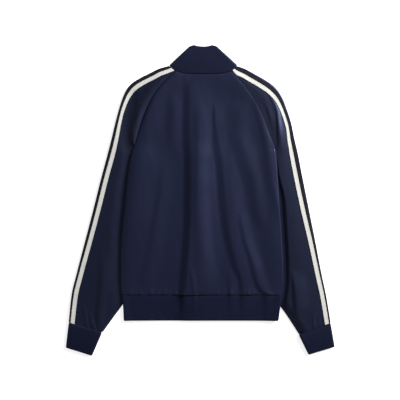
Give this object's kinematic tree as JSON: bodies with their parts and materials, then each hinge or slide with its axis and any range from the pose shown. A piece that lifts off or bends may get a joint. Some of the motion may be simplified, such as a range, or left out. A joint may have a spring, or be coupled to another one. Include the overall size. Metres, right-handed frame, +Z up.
{
  "type": "track jacket",
  "caption": "Raglan-sleeve track jacket with stand collar, rib hem and cuffs, a white and a black tape down each sleeve and a front zip, laid flat face down.",
  "frame": {"origin": "centre of the jacket's bounding box in X and Y, at the height of the surface it lies on", "axes": "+Y points from the hem to the collar along the longest extent, +Z points up from the surface and is the shortest extent, +X is to the right in the back view"},
  "size_m": [0.7136, 0.8239, 0.0179],
  "materials": {
    "back_tricot": "brushed tricot knit, soft sheen",
    "front_left_tricot": "brushed tricot knit, soft sheen",
    "front_right_tricot": "brushed tricot knit, soft sheen",
    "sleeve_left_tricot": "brushed tricot knit, soft sheen",
    "sleeve_right_tricot": "brushed tricot knit, soft sheen",
    "collar_rib": "fine rib knit, matte",
    "hem_band_rib": "fine rib knit, matte",
    "cuff_left_rib": "fine rib knit, matte",
    "cuff_right_rib": "fine rib knit, matte",
    "white_tape_left": "knitted tape, matte",
    "white_tape_right": "knitted tape, matte",
    "black_tape_left": "knitted tape, matte",
    "black_tape_right": "knitted tape, matte",
    "zip_tape_left": "woven zip tape with moulded teeth",
    "zip_tape_right": "woven zip tape with moulded teeth",
    "zip_metal": "dark satin",
    "pull_metal": "dark satin"
  },
  "bodies": {
    "jacket": {"back": "back_tricot", "front_left": "front_left_tricot", "front_right": "front_right_tricot", "sleeve_left": "sleeve_left_tricot", "sleeve_right": "sleeve_right_tricot", "collar": "collar_rib", "hem_band": "hem_band_rib", "cuff_left": "cuff_left_rib", "cuff_right": "cuff_right_rib", "tape_white_left": "white_tape_left", "tape_white_right": "white_tape_right", "tape_black_left": "black_tape_left", "tape_black_right": "black_tape_right", "zip_left": "zip_tape_left", "zip_right": "zip_tape_right", "zip_slider": "zip_metal"},
    "pull": {"pull_tab": "pull_metal"}
  },
  "joints": [
    {"name": "pull_tab_hinge", "type": "hinge", "parent": "jacket", "child": "pull", "pos_m": [0.011, 0.09, 0.0019], "axis": [1, 0, 0], "range_deg": [0, 175]}
  ]
}
